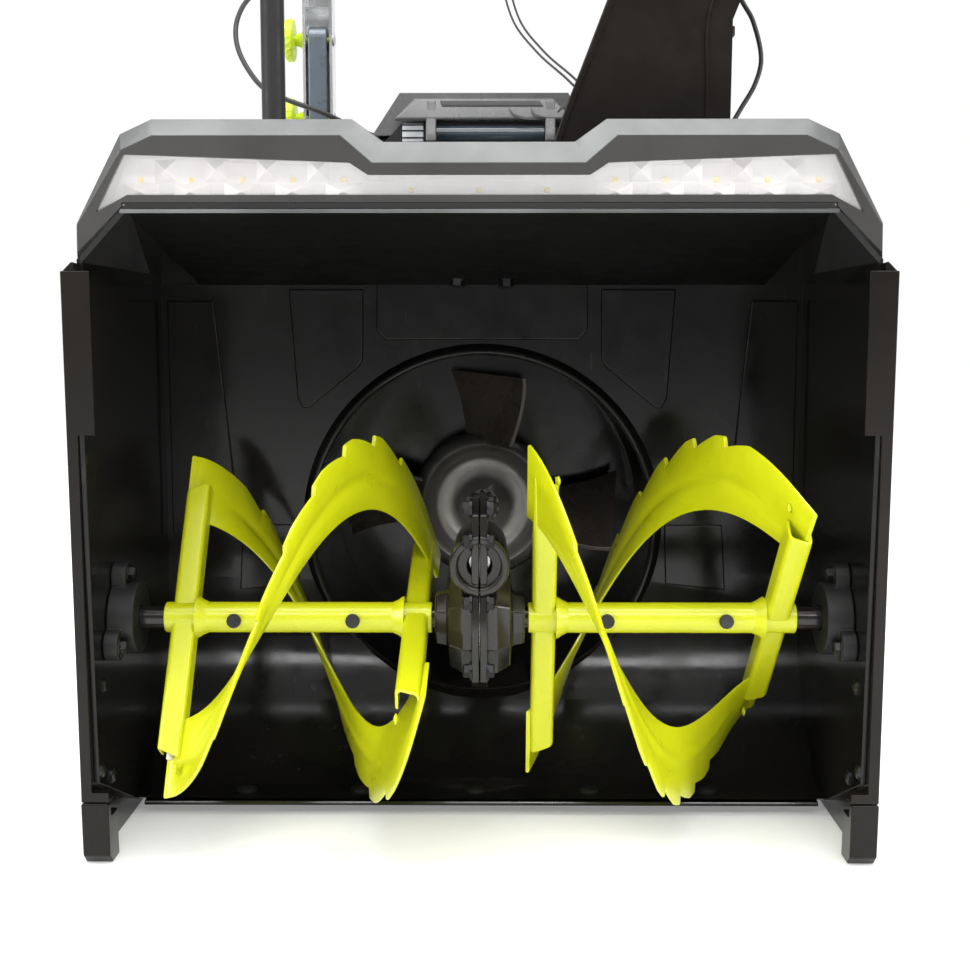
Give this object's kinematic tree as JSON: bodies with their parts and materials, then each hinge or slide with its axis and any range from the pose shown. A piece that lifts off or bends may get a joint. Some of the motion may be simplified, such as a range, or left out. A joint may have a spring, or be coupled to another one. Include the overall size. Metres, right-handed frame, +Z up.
{
  "type": "snow blower",
  "caption": "Walk-behind two-stage battery snow blower with a helical auger, impeller, turning chute, light bar, drive wheels and folding handle.",
  "frame": {"origin": "on the ground under the middle of the machine's box", "axes": "+Z up; -Y is the way it drives, with the auger in front; +X is the operator's left"},
  "size_m": [0.636, 1.3968, 1.126],
  "materials": {
    "housing_gloss": "glossy moulded black plastic with fine scuffs",
    "shell_matte": "fine-textured black plastic",
    "hood_grey": "dark grey moulded plastic, satin",
    "lid_grey": "mid grey moulded plastic, satin",
    "reflector_white": "white faceted reflector",
    "lens_clear": "clear polycarbonate",
    "auger_paint": "yellow-green powder coat over pressed steel",
    "lime_plastic": "yellow-green moulded plastic",
    "steel": "ground steel",
    "cast": "dark cast and machined metal",
    "black_paint": "black powder coat over sheet steel",
    "slate_paint": "slate grey painted steel",
    "aluminium": "bright anodised aluminium",
    "tyre": "black treaded rubber",
    "cable_black": "black sheath",
    "cable_pale": "pale grey sheath"
  },
  "bodies": {
    "chassis": {"auger_housing": "housing_gloss", "side_guard_left": "housing_gloss", "side_guard_right": "housing_gloss", "impeller_drum": "housing_gloss", "body_shell": "shell_matte", "tool_clip": "shell_matte", "chute_motor": "shell_matte", "auger_bearing_left": "shell_matte", "auger_bearing_right": "shell_matte", "battery_left": "shell_matte", "battery_right": "shell_matte", "light_hood": "hood_grey", "light_reflector": "reflector_white", "light_lens": "lens_clear", "gearbox_half_left": "cast", "gearbox_half_right": "cast", "transaxle": "cast", "auger_motor": "cast", "scraper_bar": "cast", "skid_shoe_left": "cast", "skid_shoe_right": "cast", "base_frame": "black_paint", "lower_handle_left": "slate_paint", "lower_handle_right": "slate_paint", "harness_cable": "cable_black", "chute_cable": "cable_pale"},
    "auger": {"auger_shaft": "steel", "worm_wheel": "steel", "auger_left": "auger_paint", "auger_right": "auger_paint", "shear_pin_left_1": "steel", "shear_pin_left_2": "steel", "shear_pin_right_1": "steel", "shear_pin_right_2": "steel"},
    "impeller_rotor": {"impeller_shaft": "steel", "impeller": "cast"},
    "wheel_left": {"half_shaft_left": "steel", "rim_left": "slate_paint", "tyre_left": "tyre"},
    "wheel_right": {"half_shaft_right": "steel", "rim_right": "slate_paint", "tyre_right": "tyre"},
    "chute_body": {"chute": "housing_gloss", "deflector_cable": "cable_black"},
    "deflector_body": {"chute_deflector": "housing_gloss"},
    "chute_gear": {"chute_pinion": "steel"},
    "battery_door": {"battery_lid": "lid_grey"},
    "handle": {"upper_handle": "aluminium", "control_panel": "shell_matte"},
    "pivot_knob_left_body": {"pivot_knob_left": "lime_plastic"},
    "pivot_knob_right_body": {"pivot_knob_right": "lime_plastic"},
    "lock_knob_left_body": {"lock_knob_left": "lime_plastic"},
    "lock_knob_right_body": {"lock_knob_right": "lime_plastic"},
    "auger_control": {"bail_lever_left": "lime_plastic"},
    "drive_control": {"bail_lever_right": "lime_plastic"},
    "speed_control": {"speed_lever": "lime_plastic"},
    "chute_control": {"chute_joystick": "shell_matte"},
    "light_switch": {"light_button": "lime_plastic"},
    "tool": {"clean_out_tool": "shell_matte"}
  },
  "joints": [
    {"name": "impeller_spin", "type": "hinge", "parent": "chassis", "child": "impeller_rotor", "pos_m": [0, -0.3, 0.241], "axis": [0, -1, 0], "continuous": true},
    {"name": "auger_spin", "type": "hinge", "parent": "chassis", "child": "auger", "pos_m": [0, -0.546, 0.189], "axis": [1, 0, 0], "continuous": true},
    {"name": "wheel_left_spin", "type": "hinge", "parent": "chassis", "child": "wheel_left", "pos_m": [0.23, 0.04, 0.19], "axis": [-1, 0, 0], "continuous": true},
    {"name": "wheel_right_spin", "type": "hinge", "parent": "chassis", "child": "wheel_right", "pos_m": [-0.23, 0.04, 0.19], "axis": [-1, 0, 0], "continuous": true},
    {"name": "chute_turn", "type": "hinge", "parent": "chassis", "child": "chute_body", "pos_m": [0.135, -0.265, 0.49], "axis": [0, 0, 1], "range_deg": [-192, 12]},
    {"name": "pinion_turn", "type": "hinge", "parent": "chassis", "child": "chute_gear", "pos_m": [0.0202, -0.265, 0.49], "axis": [0, 0, 1], "range_deg": [-90, 1380]},
    {"name": "deflector_tilt", "type": "hinge", "parent": "chute_body", "child": "deflector_body", "pos_m": [0.206, -0.265, 0.874], "axis": [0, 1, 0], "range_deg": [0, 30], "deforming": ["deflector_cable"]},
    {"name": "battery_lid_open", "type": "hinge", "parent": "chassis", "child": "battery_door", "pos_m": [0, 0.1, 0.636], "axis": [1, 0, 0], "range_deg": [-100, 0], "deforming": ["chute_cable"]},
    {"name": "handle_fold", "type": "hinge", "parent": "chassis", "child": "handle", "pos_m": [0, -0.076, 0.752], "axis": [1, 0, 0], "range_deg": [0, 45], "deforming": ["harness_cable"]},
    {"name": "pivot_knob_left_turn", "type": "hinge", "parent": "handle", "child": "pivot_knob_left_body", "pos_m": [0.187, -0.076, 0.752], "axis": [1, 0, 0], "continuous": true},
    {"name": "lock_knob_left_turn", "type": "hinge", "parent": "handle", "child": "lock_knob_left_body", "pos_m": [0.187, -0.076, 0.665], "axis": [1, 0, 0], "continuous": true},
    {"name": "pivot_knob_right_turn", "type": "hinge", "parent": "handle", "child": "pivot_knob_right_body", "pos_m": [-0.187, -0.076, 0.752], "axis": [-1, 0, 0], "continuous": true},
    {"name": "lock_knob_right_turn", "type": "hinge", "parent": "handle", "child": "lock_knob_right_body", "pos_m": [-0.187, -0.076, 0.665], "axis": [-1, 0, 0], "continuous": true},
    {"name": "auger_lever_press", "type": "hinge", "parent": "handle", "child": "auger_control", "pos_m": [0.215, 0.545, 1.044], "axis": [1, 0, 0], "range_deg": [-16, 0], "stiffness_Nm_per_rad": 4, "springref_deg": 5.73},
    {"name": "drive_lever_press", "type": "hinge", "parent": "handle", "child": "drive_control", "pos_m": [-0.215, 0.545, 1.044], "axis": [1, 0, 0], "range_deg": [-16, 0], "stiffness_Nm_per_rad": 4, "springref_deg": 5.73},
    {"name": "speed_lever_move", "type": "hinge", "parent": "handle", "child": "speed_control", "pos_m": [0.062, 0.54, 1.048], "axis": [1, 0, 0], "range_deg": [-25, 25]},
    {"name": "chute_joystick_move", "type": "hinge", "parent": "handle", "child": "chute_control", "pos_m": [-0.062, 0.54, 1.048], "axis": [0, 1, 0], "range_deg": [-18, 18], "stiffness_Nm_per_rad": 0.6},
    {"name": "light_button_press", "type": "slide", "parent": "handle", "child": "light_switch", "axis": [0, 0, -1], "range_m": [0, 0.004], "stiffness_N_per_m": 400},
    {"name": "tool_lift", "type": "slide", "parent": "chassis", "child": "tool", "axis": [0, 0, 1], "range_m": [0, 0.2]}
  ],
  "couplings": [
    {"joint": "auger_spin", "follows": "impeller_spin", "ratio": 0.05},
    {"joint": "pinion_turn", "follows": "chute_turn", "ratio": -7.1429}
  ]
}
